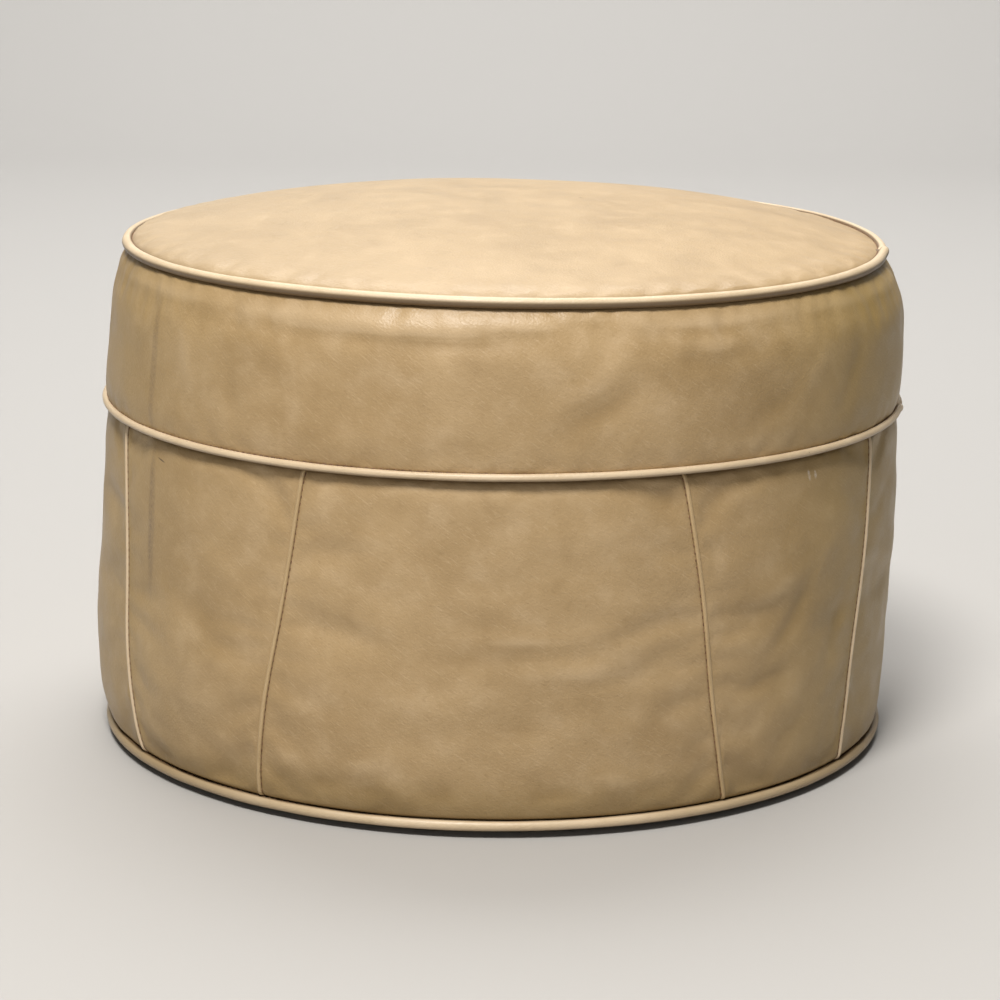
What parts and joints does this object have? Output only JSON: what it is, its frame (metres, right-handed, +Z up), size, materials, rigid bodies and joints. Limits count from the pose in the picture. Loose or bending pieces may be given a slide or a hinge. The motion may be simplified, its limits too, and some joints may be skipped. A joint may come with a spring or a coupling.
{
  "type": "leather hassock",
  "caption": "Round leather floor pouf: crowned top, plain band and trapezoid side panels joined by piped seams over a stuffed sack, on a board with low glides.",
  "frame": {"origin": "centre of the circle of glides, on the floor that they stand on", "axes": "+Z up along the axis of the drum; -Y towards the middle of the front wide side panel; +X to the right seen from the front"},
  "size_m": [0.448, 0.448, 0.299],
  "materials": {
    "leather": "aniline, soft satin, light wear",
    "piping_leather": "satin, paler and polished by wear",
    "cotton_cord": "twisted cotton",
    "wadding": "soft matt felt",
    "hessian": "coarse matt weave",
    "stuffing": "packed fibre",
    "board": "raw plywood",
    "cambric": "thin black matt cloth",
    "steel": "plain nickel-plated"
  },
  "bodies": {
    "root": {"top_panel": "leather", "upper_band": "leather", "wide_panel_front": "leather", "wide_panel_right": "leather", "wide_panel_back": "leather", "wide_panel_left": "leather", "narrow_panel_front_right": "leather", "narrow_panel_back_right": "leather", "narrow_panel_back_left": "leather", "narrow_panel_front_left": "leather", "seam_piping_1": "piping_leather", "seam_piping_2": "piping_leather", "seam_piping_3": "piping_leather", "seam_piping_4": "piping_leather", "seam_piping_5": "piping_leather", "seam_piping_6": "piping_leather", "seam_piping_7": "piping_leather", "seam_piping_8": "piping_leather", "top_welt": "piping_leather", "middle_welt": "piping_leather", "bottom_welt": "piping_leather", "top_welt_cord": "cotton_cord", "middle_welt_cord": "cotton_cord", "bottom_welt_cord": "cotton_cord", "side_wadding": "wadding", "top_wadding": "wadding", "hessian_sack": "hessian", "stuffing": "stuffing", "base_board": "board", "dust_cover": "cambric", "glide_1": "steel", "glide_2": "steel", "glide_3": "steel", "glide_4": "steel", "tack_1": "steel", "tack_2": "steel", "tack_3": "steel", "tack_4": "steel", "tack_5": "steel", "tack_6": "steel", "tack_7": "steel", "tack_8": "steel", "tack_9": "steel", "tack_10": "steel", "tack_11": "steel", "tack_12": "steel"}
  },
  "joints": []
}
